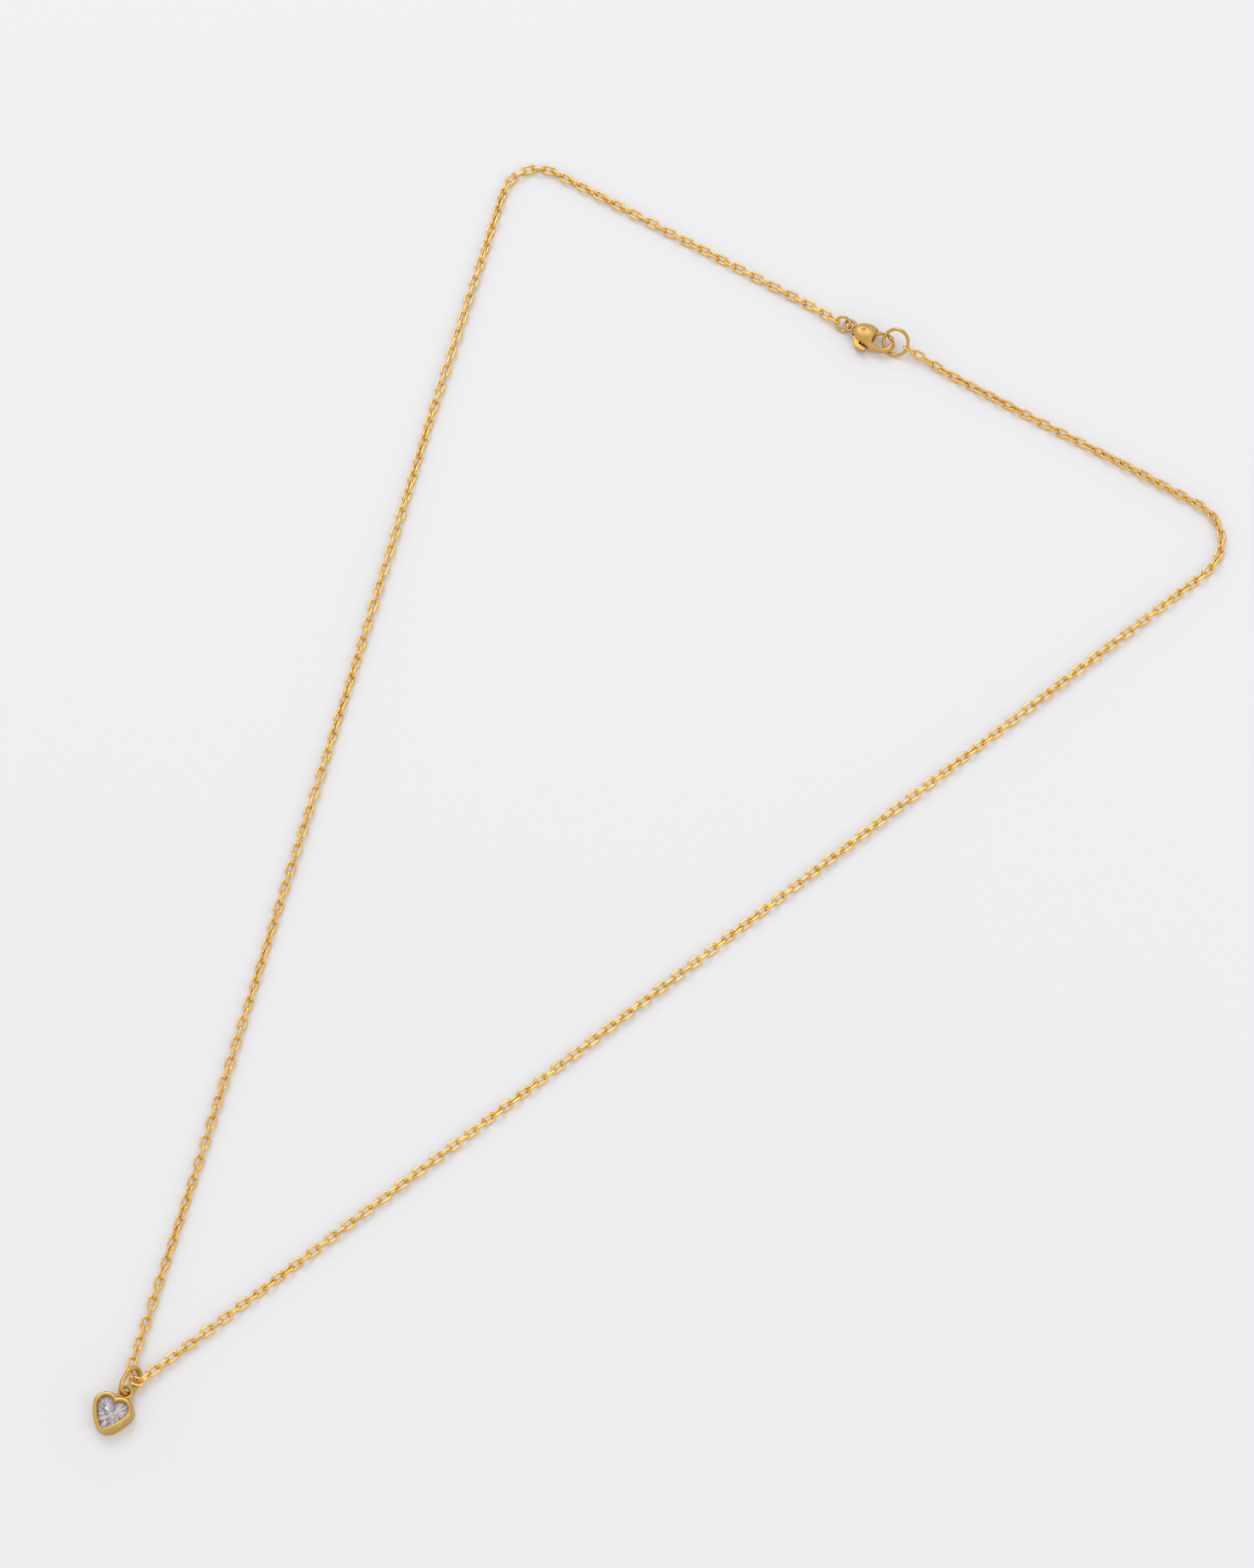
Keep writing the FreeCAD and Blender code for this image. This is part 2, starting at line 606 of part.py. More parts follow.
def make_pin():
    pin = doc.addObject("Part::Cylinder", "pin")
    pin.setExpression("Radius", "<<dims>>.pin_diameter / 2")
    length = 1.7
    pin.Height = length
    return keep(pin, "clasp_pin", Placement(CLASP + PIN_PLACE - UP * (length / 2), Rotation()))


def make_spring():
    """Bowed leaf spring in the body's slot, between the tail wall and the lever."""
    width = 0.5
    inner = [Vector(0.64, -0.3, 0), Vector(0.45, 0.1, 0), Vector(0.64, 0.6, 0)]
    thickness = Vector(0.1, 0, 0)
    outer = [point - thickness for point in inner]
    edges = [Part.Arc(*inner).toShape(),
             Part.LineSegment(inner[2], outer[2]).toShape(),
             Part.Arc(*outer).toShape(),
             Part.LineSegment(outer[0], inner[0]).toShape()]
    face = Part.Face(Part.Wire(Part.__sortEdges__(edges)))
    feature = doc.addObject("Part::Feature", "spring")
    feature.Shape = face.extrude(UP * width)
    return keep(feature, "clasp_spring", Placement(CLASP - UP * (width / 2), Rotation()))


# ------------------------------------------------------------------ rings and chain
# Height along +Y of the lines across which the two strands fold, lowest first.
FOLD_LINES = [24.0, 42.0, 60.0, 78.0, 96.0, 114.0, 132.0, 150.0]
BACK_RUN_START = 172.5
BACK_RUN_HALF_WIDTH = 50.5


def band_of(link, side):
    """Which group a link belongs to: a band of its strand, or the run along the back."""
    place, _ = link
    y = place.Base.y
    if y > BACK_RUN_START and abs(place.Base.x) < BACK_RUN_HALF_WIDTH:
        return "back_%s_links" % side
    band = sum(y > line for line in FOLD_LINES) + 1
    return "%s_strand_links_%d" % (side, band)


def add_chain(master):
    """Every link is its own solid; a node holds the links of one stretch."""
    groups = {"bail_links": list(LOWEST)}
    for side, strand_links in (("left", LEFT_STRAND), ("right", RIGHT_STRAND)):
        for link in strand_links:
            groups.setdefault(band_of(link, side), []).append(link[0])
    for name, places in groups.items():
        feature = doc.addObject("Part::Feature", name)
        feature.Shape = Part.makeCompound([master.transformed(place.Matrix, copy=True) for place in places])
        keep(feature, name)


make_back_plate()
make_stone()
make_loop(make_bezel())
make_bail()
make_clasp_body()
make_trigger()
make_pin()
make_spring()
keep(torus("jump_ring", "<<dims>>.jump_radius", "<<dims>>.jump_wire",
           ring_placement(JUMP_RING, JUMP_RING_NORMAL)), "clasp_jump_ring")
keep(torus("end_ring", "<<dims>>.end_radius", "<<dims>>.end_wire",
           ring_placement(END_RING, END_RING_NORMAL)), "end_ring")
link = oval_ring("link", "<<dims>>.link_pitch + <<dims>>.link_wire + <<dims>>.link_play",
                 "<<dims>>.link_width - <<dims>>.link_wire", "<<dims>>.link_wire")
doc.recompute()
add_chain(link.Shape)
doc.recompute()

for item in doc.Objects:
    if "Invalid" in item.State or "Error" in item.State:
        raise RuntimeError("%s failed: %s" % (item.Name, item.State))
for node in nodes:
    if node.Shape.isNull() or not node.Shape.isValid():
        raise RuntimeError(node.Label + " has no valid shape")

os.makedirs("parts", exist_ok=True)
for node in nodes:
    node.Shape.exportStep("parts/%s.step" % node.Label)
print("pitch used, left %.4f right %.4f" % (PITCH * LEFT_SCALE, PITCH * RIGHT_SCALE))
print("links", len(LOWEST) + LEFT_LINKS + RIGHT_LINKS, "nodes", len(nodes))
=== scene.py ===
import json
import math
import random

import bmesh
import bpy
import numpy as np
from mathutils import Matrix, Vector

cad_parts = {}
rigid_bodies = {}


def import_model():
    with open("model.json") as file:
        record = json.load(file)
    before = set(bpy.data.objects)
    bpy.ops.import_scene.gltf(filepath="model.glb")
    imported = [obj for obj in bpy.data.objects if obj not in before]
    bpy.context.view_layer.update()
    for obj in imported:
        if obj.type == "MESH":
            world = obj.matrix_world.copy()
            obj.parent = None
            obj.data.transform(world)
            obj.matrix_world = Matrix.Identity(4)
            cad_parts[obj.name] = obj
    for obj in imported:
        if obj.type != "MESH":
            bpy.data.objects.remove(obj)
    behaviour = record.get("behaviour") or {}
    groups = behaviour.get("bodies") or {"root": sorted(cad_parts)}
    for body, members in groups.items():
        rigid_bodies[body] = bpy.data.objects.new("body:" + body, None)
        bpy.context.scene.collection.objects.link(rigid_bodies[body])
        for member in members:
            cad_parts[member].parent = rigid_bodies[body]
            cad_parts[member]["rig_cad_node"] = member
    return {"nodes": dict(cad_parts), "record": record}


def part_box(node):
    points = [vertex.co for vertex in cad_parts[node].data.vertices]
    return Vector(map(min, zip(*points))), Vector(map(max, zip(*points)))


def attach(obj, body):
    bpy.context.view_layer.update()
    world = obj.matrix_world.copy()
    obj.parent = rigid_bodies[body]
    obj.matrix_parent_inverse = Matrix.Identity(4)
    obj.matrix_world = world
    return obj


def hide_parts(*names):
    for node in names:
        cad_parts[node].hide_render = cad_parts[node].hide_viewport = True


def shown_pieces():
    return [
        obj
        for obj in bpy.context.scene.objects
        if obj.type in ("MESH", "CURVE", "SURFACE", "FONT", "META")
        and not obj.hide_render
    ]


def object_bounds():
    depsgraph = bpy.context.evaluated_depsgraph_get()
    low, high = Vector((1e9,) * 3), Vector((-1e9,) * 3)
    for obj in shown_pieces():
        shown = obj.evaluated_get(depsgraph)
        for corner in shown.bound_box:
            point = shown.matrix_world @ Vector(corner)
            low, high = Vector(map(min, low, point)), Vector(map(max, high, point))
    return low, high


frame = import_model()
CAD_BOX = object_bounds()
MM = 0.001
NODES = frame["nodes"]
random.seed(4)


# ------------------------------------------------------------------ materials
def new_material(name):
    """An empty node material with its principled shader."""
    material = bpy.data.materials.new(name)
    material.use_nodes = True
    tree = material.node_tree
    return material, tree, tree.nodes["Principled BSDF"]


def noise(tree, coords, scale, detail):
    """Cloudy noise laid over the given coordinates."""
    node = tree.nodes.new("ShaderNodeTexNoise")
    node.inputs["Scale"].default_value = scale
    node.inputs["Detail"].default_value = detail
    tree.links.new(coords, node.inputs["Vector"])
    return node


def ramp(tree, value, low, high, stops=(0.3, 0.7)):
    """A value mapped to a range of colours or greys."""
    node = tree.nodes.new("ShaderNodeValToRGB")
    node.color_ramp.elements[0].position = stops[0]
    node.color_ramp.elements[1].position = stops[1]
    node.color_ramp.elements[0].color = low
    node.color_ramp.elements[1].color = high
    tree.links.new(value, node.inputs["Fac"])
    return node.outputs["Color"]


def grey(value):
    """An opaque grey."""
    return (value, value, value, 1.0)


def gold(name, light, dark, rough, brush=(1.0, 1.0, 1.0), scratch=0.1, pore=0.0):
    """Polished or satin gold: tone that drifts, wiped roughness, hair scratches and fine pits."""
    material, tree, shader = new_material(name)
    shader.inputs["Metallic"].default_value = 1.0
    place = tree.nodes.new("ShaderNodeTexCoord")
    stretch = tree.nodes.new("ShaderNodeMapping")
    stretch.inputs["Scale"].default_value = brush
    tree.links.new(place.outputs["Object"], stretch.inputs["Vector"])
    drift = noise(tree, place.outputs["Object"], 900.0, 2.0)
    tree.links.new(ramp(tree, drift.outputs["Fac"], dark, light), shader.inputs["Base Color"])
    wipe = noise(tree, stretch.outputs["Vector"], 2600.0, 4.0)
    wiped = ramp(tree, wipe.outputs["Fac"], grey(rough[0]), grey(rough[1]))
    tree.links.new(wiped, shader.inputs["Roughness"])
    hair = noise(tree, stretch.outputs["Vector"], 9000.0, 5.0)
    fine = tree.nodes.new("ShaderNodeBump")
    fine.inputs["Strength"].default_value = scratch
    fine.inputs["Distance"].default_value = 0.000012
    tree.links.new(hair.outputs["Fac"], fine.inputs["Height"])
    if pore:
        pits = tree.nodes.new("ShaderNodeTexVoronoi")
        pits.inputs["Scale"].default_value = 11000.0
        tree.links.new(place.outputs["Object"], pits.inputs["Vector"])
        grain = tree.nodes.new("ShaderNodeBump")
        grain.inputs["Strength"].default_value = pore
        grain.inputs["Distance"].default_value = 0.00001
        tree.links.new(pits.outputs["Distance"], grain.inputs["Height"])
        tree.links.new(fine.outputs["Normal"], grain.inputs["Normal"])
        tree.links.new(grain.outputs["Normal"], shader.inputs["Normal"])
    else:
        tree.links.new(fine.outputs["Normal"], shader.inputs["Normal"])
    return material


def stone_materials():
    """Clear crown that mirrors at a slant, and pavilion facets that throw the light back."""
    crown, tree, shader = new_material("stone_crown")
    place = tree.nodes.new("ShaderNodeTexCoord")
    wear = noise(tree, place.outputs["Object"], 3000.0, 4.0)
    mirror = tree.nodes.new("ShaderNodeBsdfGlossy")
    mirror.inputs["Color"].default_value = grey(1.0)
    tree.links.new(ramp(tree, wear.outputs["Fac"], grey(0.02), grey(0.07)), mirror.inputs["Roughness"])
    clear = tree.nodes.new("ShaderNodeBsdfTransparent")
    tree.links.new(ramp(tree, wear.outputs["Fac"], (0.93, 0.92, 0.93, 1), grey(0.98)), clear.inputs["Color"])
    slant = tree.nodes.new("ShaderNodeLayerWeight")
    slant.inputs["Blend"].default_value = 0.35
    share = tree.nodes.new("ShaderNodeMapRange")
    share.inputs["To Min"].default_value = 0.12
    share.inputs["To Max"].default_value = 0.75
    tree.links.new(slant.outputs["Facing"], share.inputs["Value"])
    blend = tree.nodes.new("ShaderNodeMixShader")
    tree.links.new(share.outputs["Result"], blend.inputs[0])
    tree.links.new(clear.outputs["BSDF"], blend.inputs[1])
    tree.links.new(mirror.outputs["BSDF"], blend.inputs[2])
    tree.links.new(blend.outputs["Shader"], tree.nodes["Material Output"].inputs["Surface"])
    tree.nodes.remove(shader)
    pavilion, tree, shader = new_material("stone_pavilion")
    shader.inputs["Metallic"].default_value = 0.55
    # The pavilion's base colour carries the painted sparkle: each facet's painted highlight or painted dark
    # reflection tone.
    tone = tree.nodes.new("ShaderNodeVertexColor")
    tone.layer_name = "painted_sparkle_tone"
    place = tree.nodes.new("ShaderNodeTexCoord")
    cloud = noise(tree, place.outputs["Object"], 1500.0, 3.0)
    mix = tree.nodes.new("ShaderNodeMixRGB")
    mix.blend_type = "MULTIPLY"
    mix.inputs["Fac"].default_value = 1.0
    tree.links.new(tone.outputs["Color"], mix.inputs["Color1"])
    tree.links.new(ramp(tree, cloud.outputs["Fac"], (0.8, 0.77, 0.79, 1), grey(1.0)), mix.inputs["Color2"])
    tree.links.new(mix.outputs["Color"], shader.inputs["Base Color"])
    tree.links.new(ramp(tree, cloud.outputs["Fac"], grey(0.1), grey(0.25)), shader.inputs["Roughness"])
    return crown, pavilion


def steel():
    """Plain drawn spring steel with a fine grain."""
    material, tree, shader = new_material("spring_steel")
    shader.inputs["Metallic"].default_value = 1.0
    place = tree.nodes.new("ShaderNodeTexCoord")
    grain = noise(tree, place.outputs["Object"], 5000.0, 4.0)
    tree.links.new(ramp(tree, grain.outputs["Fac"], grey(0.42), grey(0.62)), shader.inputs["Base Color"])
    tree.links.new(ramp(tree, grain.outputs["Fac"], grey(0.25), grey(0.4)), shader.inputs["Roughness"])
    return material


CHAIN_GOLD = gold("chain_gold", (0.93, 0.62, 0.2, 1), (0.83, 0.49, 0.12, 1), (0.12, 0.24), scratch=0.05)
DEEP_GOLD = gold("pendant_gold", (0.72, 0.46, 0.13, 1), (0.62, 0.37, 0.09, 1), (0.2, 0.34),
                 brush=(1.0, 1.0, 0.25), scratch=0.1, pore=0.04)
SATIN_GOLD = gold("clasp_gold", (0.7, 0.44, 0.14, 1), (0.6, 0.35, 0.1, 1), (0.34, 0.48),
                  brush=(0.18, 1.0, 1.0), scratch=0.3, pore=0.12)
STONE_CROWN, STONE_PAVILION = stone_materials()
STEEL = steel()


# ------------------------------------------------------------------ mesh helpers
def add_piece(name, vertices, faces, node, materials, smooth=True):
    """A finished piece: its mesh, materials, the node it stands for and the body it rides on."""
    mesh = bpy.data.meshes.new(name)
    mesh.from_pydata([tuple(v) for v in vertices], [], faces)
    mesh.validate()
    return dress(name, mesh, node, materials, smooth)


def dress(name, mesh, node, materials, smooth=True):
    """A mesh made into a piece of the scene that stands for a node."""
    mesh.polygons.foreach_set("use_smooth", [smooth] * len(mesh.polygons))
    for material in materials:
        mesh.materials.append(material)
    obj = bpy.data.objects.new(name, mesh)
    bpy.context.scene.collection.objects.link(obj)
    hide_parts(node)
    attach(obj, BODY_OF[node])
    return obj


BODY_OF = {}
for body_name, members in frame["record"]["behaviour"]["bodies"].items():
    for member in members:
        BODY_OF[member] = body_name


def sweep(rings, closed=True, caps=False):
    """Faces between rings of equally many points; closed joins the last ring to the first."""
    count = len(rings[0])
    vertices = [point for ring in rings for point in ring]
    faces = []
    last = len(rings) if closed else len(rings) - 1
    for i in range(last):
        a = i * count
        b = ((i + 1) % len(rings)) * count
        for k in range(count):
            n = (k + 1) % count
            faces.append((a + k, b + k, b + n, a + n))
    if caps:
        faces.append(tuple(range(count)))
        faces.append(tuple((len(rings) - 1) * count + k for k in reversed(range(count))))
    return vertices, faces


def islands(mesh):
    """Vertex indices of each separate shell of a mesh."""
    parent = list(range(len(mesh.vertices)))

    def find(i):
        while parent[i] != i:
            parent[i] = parent[parent[i]]
            i = parent[i]
        return i

    places = {}
    for v in mesh.vertices:
        key = tuple(round(c, 7) for c in v.co)
        if key in places:
            parent[find(v.index)] = find(places[key])
        else:
            places[key] = v.index
    for edge in mesh.edges:
        a, b = edge.vertices
        parent[find(a)] = find(b)
    groups = {}
    for i in range(len(parent)):
        groups.setdefault(find(i), []).append(i)
    return list(groups.values())


def shell_frames(mesh):
    """Centre, main axes and extents of each shell, from its surface."""
    points = np.array([v.co[:] for v in mesh.vertices])
    shells = islands(mesh)
    owner = np.zeros(len(points), dtype=int)
    for i, shell in enumerate(shells):
        owner[shell] = i
    mesh.calc_loop_triangles()
    triangles = np.array([t.vertices[:] for t in mesh.loop_triangles])
    corners = points[triangles]
    crosses = np.cross(corners[:, 1] - corners[:, 0], corners[:, 2] - corners[:, 0])
    areas = np.linalg.norm(crosses, axis=1) / 2
    middles = corners.mean(axis=1)
    tri_owner = owner[triangles[:, 0]]
    found = []
    for i, shell in enumerate(shells):
        own = tri_owner == i
        weight = areas[own] / areas[own].sum()
        centre = (middles[own] * weight[:, None]).sum(axis=0)
        offset = middles[own] - centre
        spread = (offset * weight[:, None]).T @ offset
        _, axes = np.linalg.eigh(spread)
        along, across, normal = axes[:, 2], axes[:, 1], axes[:, 0]
        if np.dot(np.cross(along, across), normal) < 0:
            normal = -normal
        basis = np.stack([along, across, normal], axis=1)
        local = (points[shell] - centre) @ basis
        low, high = local.min(axis=0), local.max(axis=0)
        centre = centre + basis @ ((low + high) / 2)
        found.append((centre, along, across, normal, high - low))
    return found


SEAM_REACH = 0.12  # how far a seam's pinch spreads, in wire thicknesses


def oval_wire(shape, wire, turns, around, flat, seam=0.0):
    """Wire bent into an oval, or a circle where it is as wide as long, with its ends closed at a seam."""
    centre, along, across, normal, extent = shape
    length = extent[0] - wire
    width = min(extent[1] - wire, length)
    radius = width / 2
    straight = (length - width) / 2
    loop = 2 * math.pi * radius + 4 * straight
    rings = []
    for i in range(turns):
        s = (i + 0.5) / turns * loop
        x, y, nx, ny = oval_point(s, radius, straight)
        near = min(s, loop - s) / wire
        pinch = 1.0 - seam * math.exp(-(near / SEAM_REACH) ** 2)
        ring = []
        for k in range(around):
            turn = 2 * math.pi * k / around
            out = math.cos(turn) * wire / 2 * pinch
            up = math.sin(turn) * wire / 2 * flat * pinch
            ring.append(centre + along * (x + nx * out) + across * (y + ny * out) + normal * up)
        rings.append(ring)
    return sweep(rings)


def oval_point(s, radius, straight):
    """Point and outward direction at a length along an oval, from the middle of a straight side."""
    quarter = math.pi * radius
    if s < straight:
        return s, radius, 0.0, 1.0
    s -= straight
    if s < quarter:
        turn = math.pi / 2 - s / radius
        return straight + radius * math.cos(turn), radius * math.sin(turn), math.cos(turn), math.sin(turn)
    s -= quarter
    if s < 2 * straight:
        return straight - s, -radius, 0.0, -1.0
    s -= 2 * straight
    if s < quarter:
        turn = -math.pi / 2 - s / radius
        return -straight + radius * math.cos(turn), radius * math.sin(turn), math.cos(turn), math.sin(turn)
    s -= quarter
    return -straight + s, radius, 0.0, 1.0


# ------------------------------------------------------------------ chain
LINK_WIRE = 0.36 * MM


def make_links(node):
    """All links of one stretch, each its own shell of round wire a little flattened on its faces."""
    vertices, faces = [], []
    for shape in shell_frames(NODES[node].data):
        shell, quads = oval_wire(shape, LINK_WIRE, turns=40, around=12, flat=0.93, seam=0.035)
        base = len(vertices)
        vertices += shell
        faces += [tuple(base + i for i in quad) for quad in quads]
    add_piece(node + "_wire", vertices, faces, node, [CHAIN_GOLD])


for node_name in sorted(NODES):
    if "links" in node_name:
        make_links(node_name)


# ------------------------------------------------------------------ rings and bail
# Node, wire in mm, how flat the wire is, and how deep its seam is pinched.
RINGS = [("clasp_jump_ring", 0.4, 0.98, 0.16),
         ("end_ring", 0.45, 0.98, 0.05),
         ("bail_ring", 0.62, 0.93, 0.03)]
for node_name, wire, flat, seam in RINGS:
    shape = shell_frames(NODES[node_name].data)[0]
    shell, quads = oval_wire(shape, wire * MM, turns=144, around=28, flat=flat, seam=seam)
    add_piece(node_name + "_wire", shell, quads, node_name, [DEEP_GOLD])


# ------------------------------------------------------------------ heart setting
LOBE_RADIUS = 1.05
LOBE = (0.95, 0.63)
SIDE_RADIUS = 6.0
SIDE_TURN = math.radians(-19)
HEART_TURN = math.radians(9.2)
LOBE_STEPS = 26
SIDE_STEPS = 22
TIP_REACH = 7  # points either side of the tip that are worn round


def heart_outline(grow, shrink=1.0, rounding=0):
    """Points of the heart's outline from the notch round by the tip, widened all round by grow."""
    lobe = LOBE_RADIUS + grow
    side = SIDE_RADIUS + grow
    reach = SIDE_RADIUS - LOBE_RADIUS
    centre = (LOBE[0] - reach * math.cos(SIDE_TURN), LOBE[1] - reach * math.sin(SIDE_TURN))
    notch = math.acos(-LOBE[0] / lobe)
    tip = -math.asin(math.sqrt(side ** 2 - centre[0] ** 2) / side)
    half = []
    for i in range(LOBE_STEPS):
        turn = notch + (SIDE_TURN - notch) * i / LOBE_STEPS
        half.append((LOBE[0] + lobe * math.cos(turn), LOBE[1] + lobe * math.sin(turn)))
    half[0] = (0.0, half[0][1])
    for i in range(SIDE_STEPS + 1):
        turn = SIDE_TURN + (tip - SIDE_TURN) * i / SIDE_STEPS
        half.append((centre[0] + side * math.cos(turn), centre[1] + side * math.sin(turn)))
    half[-1] = (0.0, half[-1][1])
    points = np.array(half + [(-x, y) for x, y in reversed(half[1:-1])])
    middle = len(half) - 1
    for _ in range(rounding):
        average = (np.roll(points, 1, axis=0) + np.roll(points, -1, axis=0)) / 2
        for i in range(-TIP_REACH, TIP_REACH + 1):
            points[middle + i] = average[middle + i]
    return points * shrink


def heart_ring(points, height):
    """Outline in plan, turned as the heart lies and set at a height, in metres."""
    c, s = math.cos(HEART_TURN), math.sin(HEART_TURN)
    return [np.array((x * c - y * s, x * s + y * c, height)) * MM for x, y in points]


# Section of the cup's wall: how far out from the stone's opening, and how high.
BEZEL_SECTION = [(0.1, 0.0), (0.1, 0.4), (0.1, 1.0), (0.1, 1.54), (0.09, 1.55), (0.01, 1.55), (0.0, 1.57),
                 (0.0, 1.7), (0.012, 1.83), (0.04, 1.91), (0.09, 1.96), (0.16, 1.99), (0.25, 2.0),
                 (0.34, 1.99), (0.42, 1.96), (0.49, 1.9), (0.545, 1.82), (0.58, 1.7), (0.596, 1.55),
                 (0.6, 1.3), (0.6, 0.9), (0.6, 0.5), (0.598, 0.22), (0.58, 0.1), (0.54, 0.03), (0.46, 0.0),
                 (0.28, 0.0)]


def make_bezel():
    """The cup: its wall's section carried round the heart, with the tip worn more the further out."""
    rings = []
    for out, height in BEZEL_SECTION:
        worn = round(50 * max(0.0, out - 0.1)) + 2
        rings.append(heart_ring(heart_outline(out, rounding=worn), height))
    vertices, faces = sweep(rings)
    add_piece("heart_bezel_cup", vertices, faces, "heart_bezel", [DEEP_GOLD])


def make_back_plate():
    """The cup's floor, a heart-shaped plate with broken edges."""
    section = [(0.03, 0.0), (0.08, 0.012), (0.1, 0.04), (0.1, 0.31), (0.08, 0.338), (0.03, 0.35)]
    rings = [heart_ring(heart_outline(out), height) for out, height in section]
    vertices, faces = sweep(rings, closed=False, caps=True)
    add_piece("bezel_back_plate_disc", vertices, faces, "bezel_back_plate", [DEEP_GOLD])


def pick(points, count):
    """Evenly spread points of an outline, always keeping the notch and the tip."""
    total = len(points)
    return [points[round(i * total / count) % total] for i in range(count)]


def facets(lower, upper):
    """Triangles between two rings, the upper with half as many points."""
    count = len(lower)
    half = len(upper)
    made = []
    for i in range(half):
        a, b, c = 2 * i, (2 * i + 1) % count, (2 * i + 2) % count
        made.append((lower[a], lower[b], upper[i]))
        made.append((lower[b], upper[(i + 1) % half], upper[i]))
        made.append((lower[b], lower[c], upper[(i + 1) % half]))
    return made


STONE_GROW = 0.08
GIRDLE_TOP, GIRDLE_BOTTOM = 1.46, 1.36
WAIST_HEIGHT, TABLE_HEIGHT = 1.65, 1.84
DEEP_HEIGHT, KEEL_HEIGHT, POINT_HEIGHT = 0.96, 0.55, 0.5
PAVILION_TOP = 1.4
# Painted shade: facets above RIM_SHADE_FROM, inside the bezel's wall near the girdle, are darkened by
# RIM_SHADE.
RIM_SHADE_FROM = 1.1
RIM_SHADE = 0.62
# Painted sparkle: bright and dark tones laid at random on the pavilion's facets, as painted highlights and
# painted dark reflections of a cut stone.
PAINTED_SPARKLE_TONES = [(0.98, 0.97, 0.98), (0.96, 0.9, 0.91), (0.62, 0.59, 0.63), (1.0, 1.0, 1.0), (0.3, 0.28, 0.32),
               (0.97, 0.89, 0.9), (0.85, 0.84, 0.88)]


def make_stone():
    """Heart brilliant: table, star and main facets, girdle, and a pavilion of long facets."""
    girdle = pick(heart_outline(STONE_GROW), 32)
    waist = pick(heart_outline(STONE_GROW, 0.86), 16)
    table = pick(heart_outline(STONE_GROW, 0.64), 16)
    deep = pick(heart_outline(STONE_GROW, 0.52), 16)
    keel = pick(heart_outline(STONE_GROW, 0.12), 8)
    vertices = []

    def lay(points, height):
        first = len(vertices)
        vertices.extend(heart_ring(points, height))
        return list(range(first, len(vertices)))

    top = lay(girdle, GIRDLE_TOP)
    bottom = lay(girdle, GIRDLE_BOTTOM)
    mid_ring = lay(waist, WAIST_HEIGHT)
    table_ring = lay(table, TABLE_HEIGHT)
    deep_ring = lay(deep, DEEP_HEIGHT)
    keel_ring = lay(keel, KEEL_HEIGHT)
    crown = facets(top, mid_ring)
    for i in range(16):
        n = (i + 1) % 16
        crown.append((mid_ring[i], mid_ring[n], table_ring[i]))
        crown.append((mid_ring[n], table_ring[n], table_ring[i]))
    centre = len(vertices)
    vertices.extend(heart_ring([(0.0, -0.25)], TABLE_HEIGHT))
    crown += [(table_ring[i], table_ring[(i + 1) % 16], centre) for i in range(16)]
    for i in range(32):
        n = (i + 1) % 32
        crown.append((bottom[i], bottom[n], top[n], top[i]))
    pavilion = [tuple(reversed(f)) for f in facets(bottom, deep_ring)]
    pavilion += [tuple(reversed(f)) for f in facets(deep_ring, keel_ring)]
    point = len(vertices)
    vertices.extend(heart_ring([(0.0, -0.1)], POINT_HEIGHT))
    pavilion += [(keel_ring[(i + 1) % 8], keel_ring[i], point) for i in range(8)]
    stone = add_piece("heart_stone_facets", vertices, crown + pavilion, "heart_stone",
                      [STONE_CROWN, STONE_PAVILION], smooth=False)
    mesh = stone.data
    tone = mesh.color_attributes.new("painted_sparkle_tone", "FLOAT_COLOR", "CORNER")
    for face in mesh.polygons:
        below = face.center.z < PAVILION_TOP * MM and abs(face.normal.z) > 0.05
        face.material_index = 1 if below else 0
        # Each facet gets a painted highlight or painted dark reflection tone, picked at random.
        shade = random.choice(PAINTED_SPARKLE_TONES)
        # Painted shade inside the bezel's wall near the girdle.
        if face.center.z > RIM_SHADE_FROM * MM:
            shade = tuple(RIM_SHADE * part for part in shade)
        for corner in face.loop_indices:
            tone.data[corner].color = (*shade, 1.0)


make_bezel()
make_back_plate()
make_stone()

low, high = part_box("pendant_loop")
LOOP_RADIUS = 0.78 * MM
LOOP_WIRE = 0.5 * MM
loop_middle = high[1] - LOOP_RADIUS - LOOP_WIRE / 2
loop_centre = np.array(((low[0] + high[0]) / 2, loop_middle, (low[2] + high[2]) / 2))
loop_span = 2 * LOOP_RADIUS + LOOP_WIRE
loop_shape = (loop_centre, np.array((1.0, 0, 0)), np.array((0, 1.0, 0)), np.array((0, 0, 1.0)),
              np.array((loop_span, loop_span, LOOP_WIRE)))
shell, quads = oval_wire(loop_shape, LOOP_WIRE, turns=96, around=28, flat=0.98)
add_piece("pendant_loop_wire", shell, quads, "pendant_loop", [DEEP_GOLD])


# ------------------------------------------------------------------ clasp
def softened(node, name, material, voxel, passes):
    """A casting's surface with its edges worn round: a fine even mesh of the part, relaxed."""
    work = NODES[node].data.copy()
    work.transform(Matrix.Scale(1 / MM, 4))
    holder = bpy.data.objects.new(name + "_work", work)
    bpy.context.scene.collection.objects.link(holder)
    weld = holder.modifiers.new("weld", "WELD")
    weld.merge_threshold = 0.0005
    even = holder.modifiers.new("even", "REMESH")
    even.mode = "VOXEL"
    even.voxel_size = voxel
    relax = holder.modifiers.new("relax", "SMOOTH")
    relax.factor = 0.5
    relax.iterations = passes
    bpy.context.view_layer.update()
    graph = bpy.context.evaluated_depsgraph_get()
    mesh = bpy.data.meshes.new_from_object(holder.evaluated_get(graph))
    bpy.data.objects.remove(holder)
    mesh.transform(Matrix.Scale(MM, 4))
    mesh.materials.clear()
    return dress(name, mesh, node, [material])


softened("clasp_body", "clasp_body_casting", SATIN_GOLD, 0.03, 6)
softened("clasp_trigger", "clasp_trigger_lever", SATIN_GOLD, 0.025, 4)
softened("clasp_spring", "clasp_spring_leaf", STEEL, 0.012, 2)


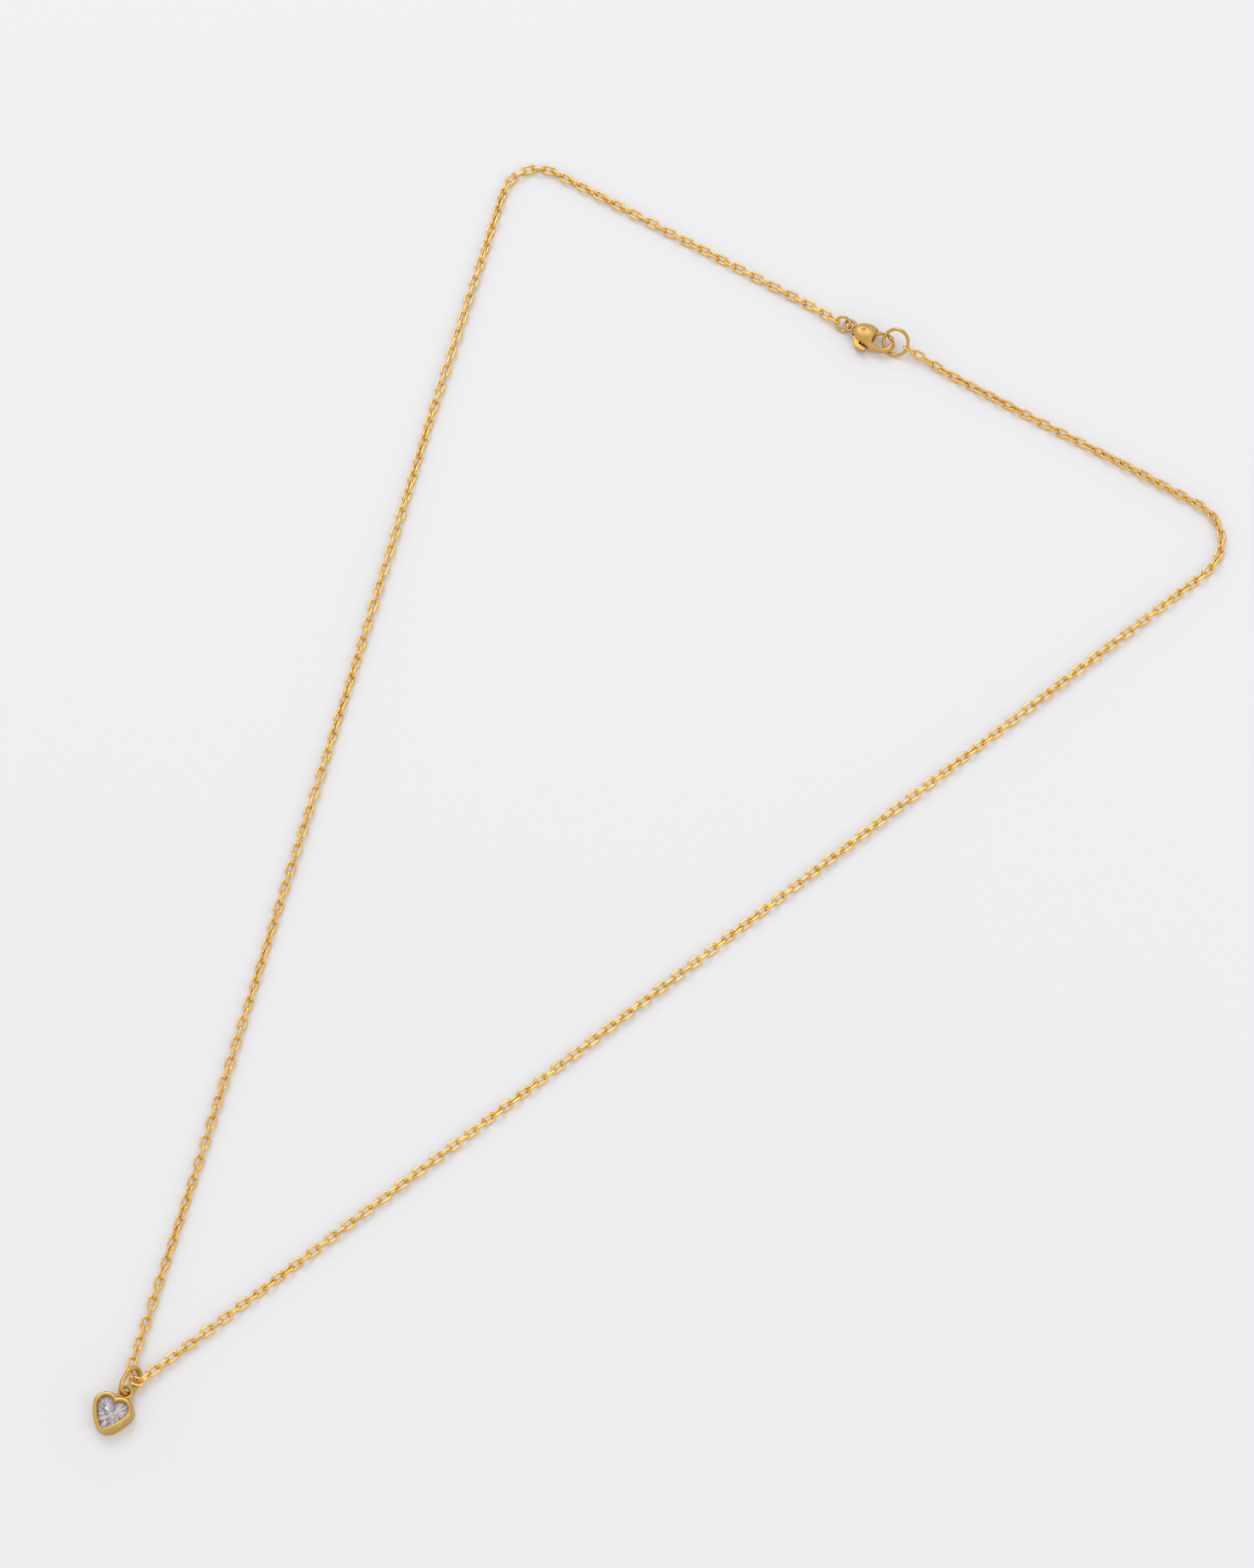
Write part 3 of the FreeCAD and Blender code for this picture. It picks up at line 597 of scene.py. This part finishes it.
def make_pin():
    """The rivet: a straight pin with slightly domed ends."""
    low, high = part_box("clasp_pin")
    x, y = (low[0] + high[0]) / 2, (low[1] + high[1]) / 2
    radius = (high[0] - low[0]) / 2
    dome = 0.06 * MM
    around = 40
    section = [(0.4, 0.08), (0.75, 0.4), (0.95, 0.8), (1.0, 1.0)]
    profile = [(r * radius, low[2] + h * dome) for r, h in section]
    profile += [(r * radius, high[2] - h * dome) for r, h in reversed(section)]
    turns = [2 * math.pi * k / around for k in range(around)]
    rings = []
    for r, z in profile:
        rings.append([np.array((x + r * math.cos(turn), y + r * math.sin(turn), z)) for turn in turns])
    vertices, faces = sweep(rings, closed=False, caps=True)
    add_piece("clasp_pin_rivet", vertices, faces, "clasp_pin", [SATIN_GOLD])


make_pin()


# ------------------------------------------------------------------ turn faces outward
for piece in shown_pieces():
    mesh = piece.data
    if "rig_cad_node" in piece:
        continue
    work = bmesh.new()
    work.from_mesh(mesh)
    bmesh.ops.recalc_face_normals(work, faces=work.faces)
    work.to_mesh(mesh)
    work.free()


# ------------------------------------------------------------------ floor, light and camera
FLOOR_HALF = 2.5
FLOOR_DROP = 0.01 * MM


def make_floor():
    """The plain pale surface the necklace lies on."""
    z = CAD_BOX[0][2] - FLOOR_DROP
    corners = [(x * FLOOR_HALF, y * FLOOR_HALF, z) for x, y in [(-1, -1), (1, -1), (1, 1), (-1, 1)]]
    mesh = bpy.data.meshes.new("floor")
    mesh.from_pydata(corners, [], [(0, 1, 2, 3)])
    material, tree, shader = new_material("floor")
    shader.inputs["Base Color"].default_value = (0.86, 0.86, 0.875, 1)
    shader.inputs["Roughness"].default_value = 0.9
    shader.inputs["Specular IOR Level"].default_value = 0.1
    mesh.materials.append(material)
    floor = bpy.data.objects.new("floor", mesh)
    bpy.context.scene.collection.objects.link(floor)


LOOP_MIDDLE = (0, 0.09, 0)


def area_light(name, place, size, power):
    """A rectangular lamp turned to the middle of the necklace."""
    light = bpy.data.lights.new(name, "AREA")
    light.shape = "RECTANGLE"
    light.size, light.size_y = size
    light.energy = power
    obj = bpy.data.objects.new(name, light)
    obj.location = place
    obj.rotation_euler = (Vector(LOOP_MIDDLE) - Vector(place)).to_track_quat("-Z", "Y").to_euler()
    bpy.context.scene.collection.objects.link(obj)


make_floor()
world = bpy.data.worlds.new("studio")
world.use_nodes = True
background = world.node_tree.nodes["Background"]
background.inputs["Color"].default_value = (0.99, 0.99, 1.0, 1)
background.inputs["Strength"].default_value = 0.82
bpy.context.scene.world = world
area_light("key", (-0.5, 0.5, 0.8), (0.5, 0.5), 2.0)
area_light("fill", (0.6, 0.1, 0.6), (0.3, 0.6), 0.6)

TILT = math.radians(24.6)
ROLL = math.radians(-9.16)
LEVEL = Vector((-0.66760, 0.74452, 0.0))
SIDEWAYS = Vector((0.74452, 0.66760, 0.0))
CAMERA_PLACE = (0.21686, -0.12992, 0.68736)
SENSOR_HEIGHT = 36.0
FOCAL_LENGTH = 135.6
look = LEVEL * math.sin(TILT) - Vector((0, 0, 1)) * math.cos(TILT)
upright = LEVEL * math.cos(TILT) + Vector((0, 0, 1)) * math.sin(TILT)
right = SIDEWAYS * math.cos(ROLL) + upright * math.sin(ROLL)
up = upright * math.cos(ROLL) - SIDEWAYS * math.sin(ROLL)
lens = bpy.data.cameras.new("camera")
lens.sensor_fit = "VERTICAL"
lens.sensor_height = SENSOR_HEIGHT
lens.lens = FOCAL_LENGTH
lens.clip_start = 0.01
camera = bpy.data.objects.new("camera", lens)
turn = Matrix((right, up, -look)).transposed().to_4x4()
camera.matrix_world = Matrix.Translation(CAMERA_PLACE) @ turn
bpy.context.scene.collection.objects.link(camera)
bpy.context.scene.camera = camera

bpy.context.scene.view_settings.view_transform = "Standard"
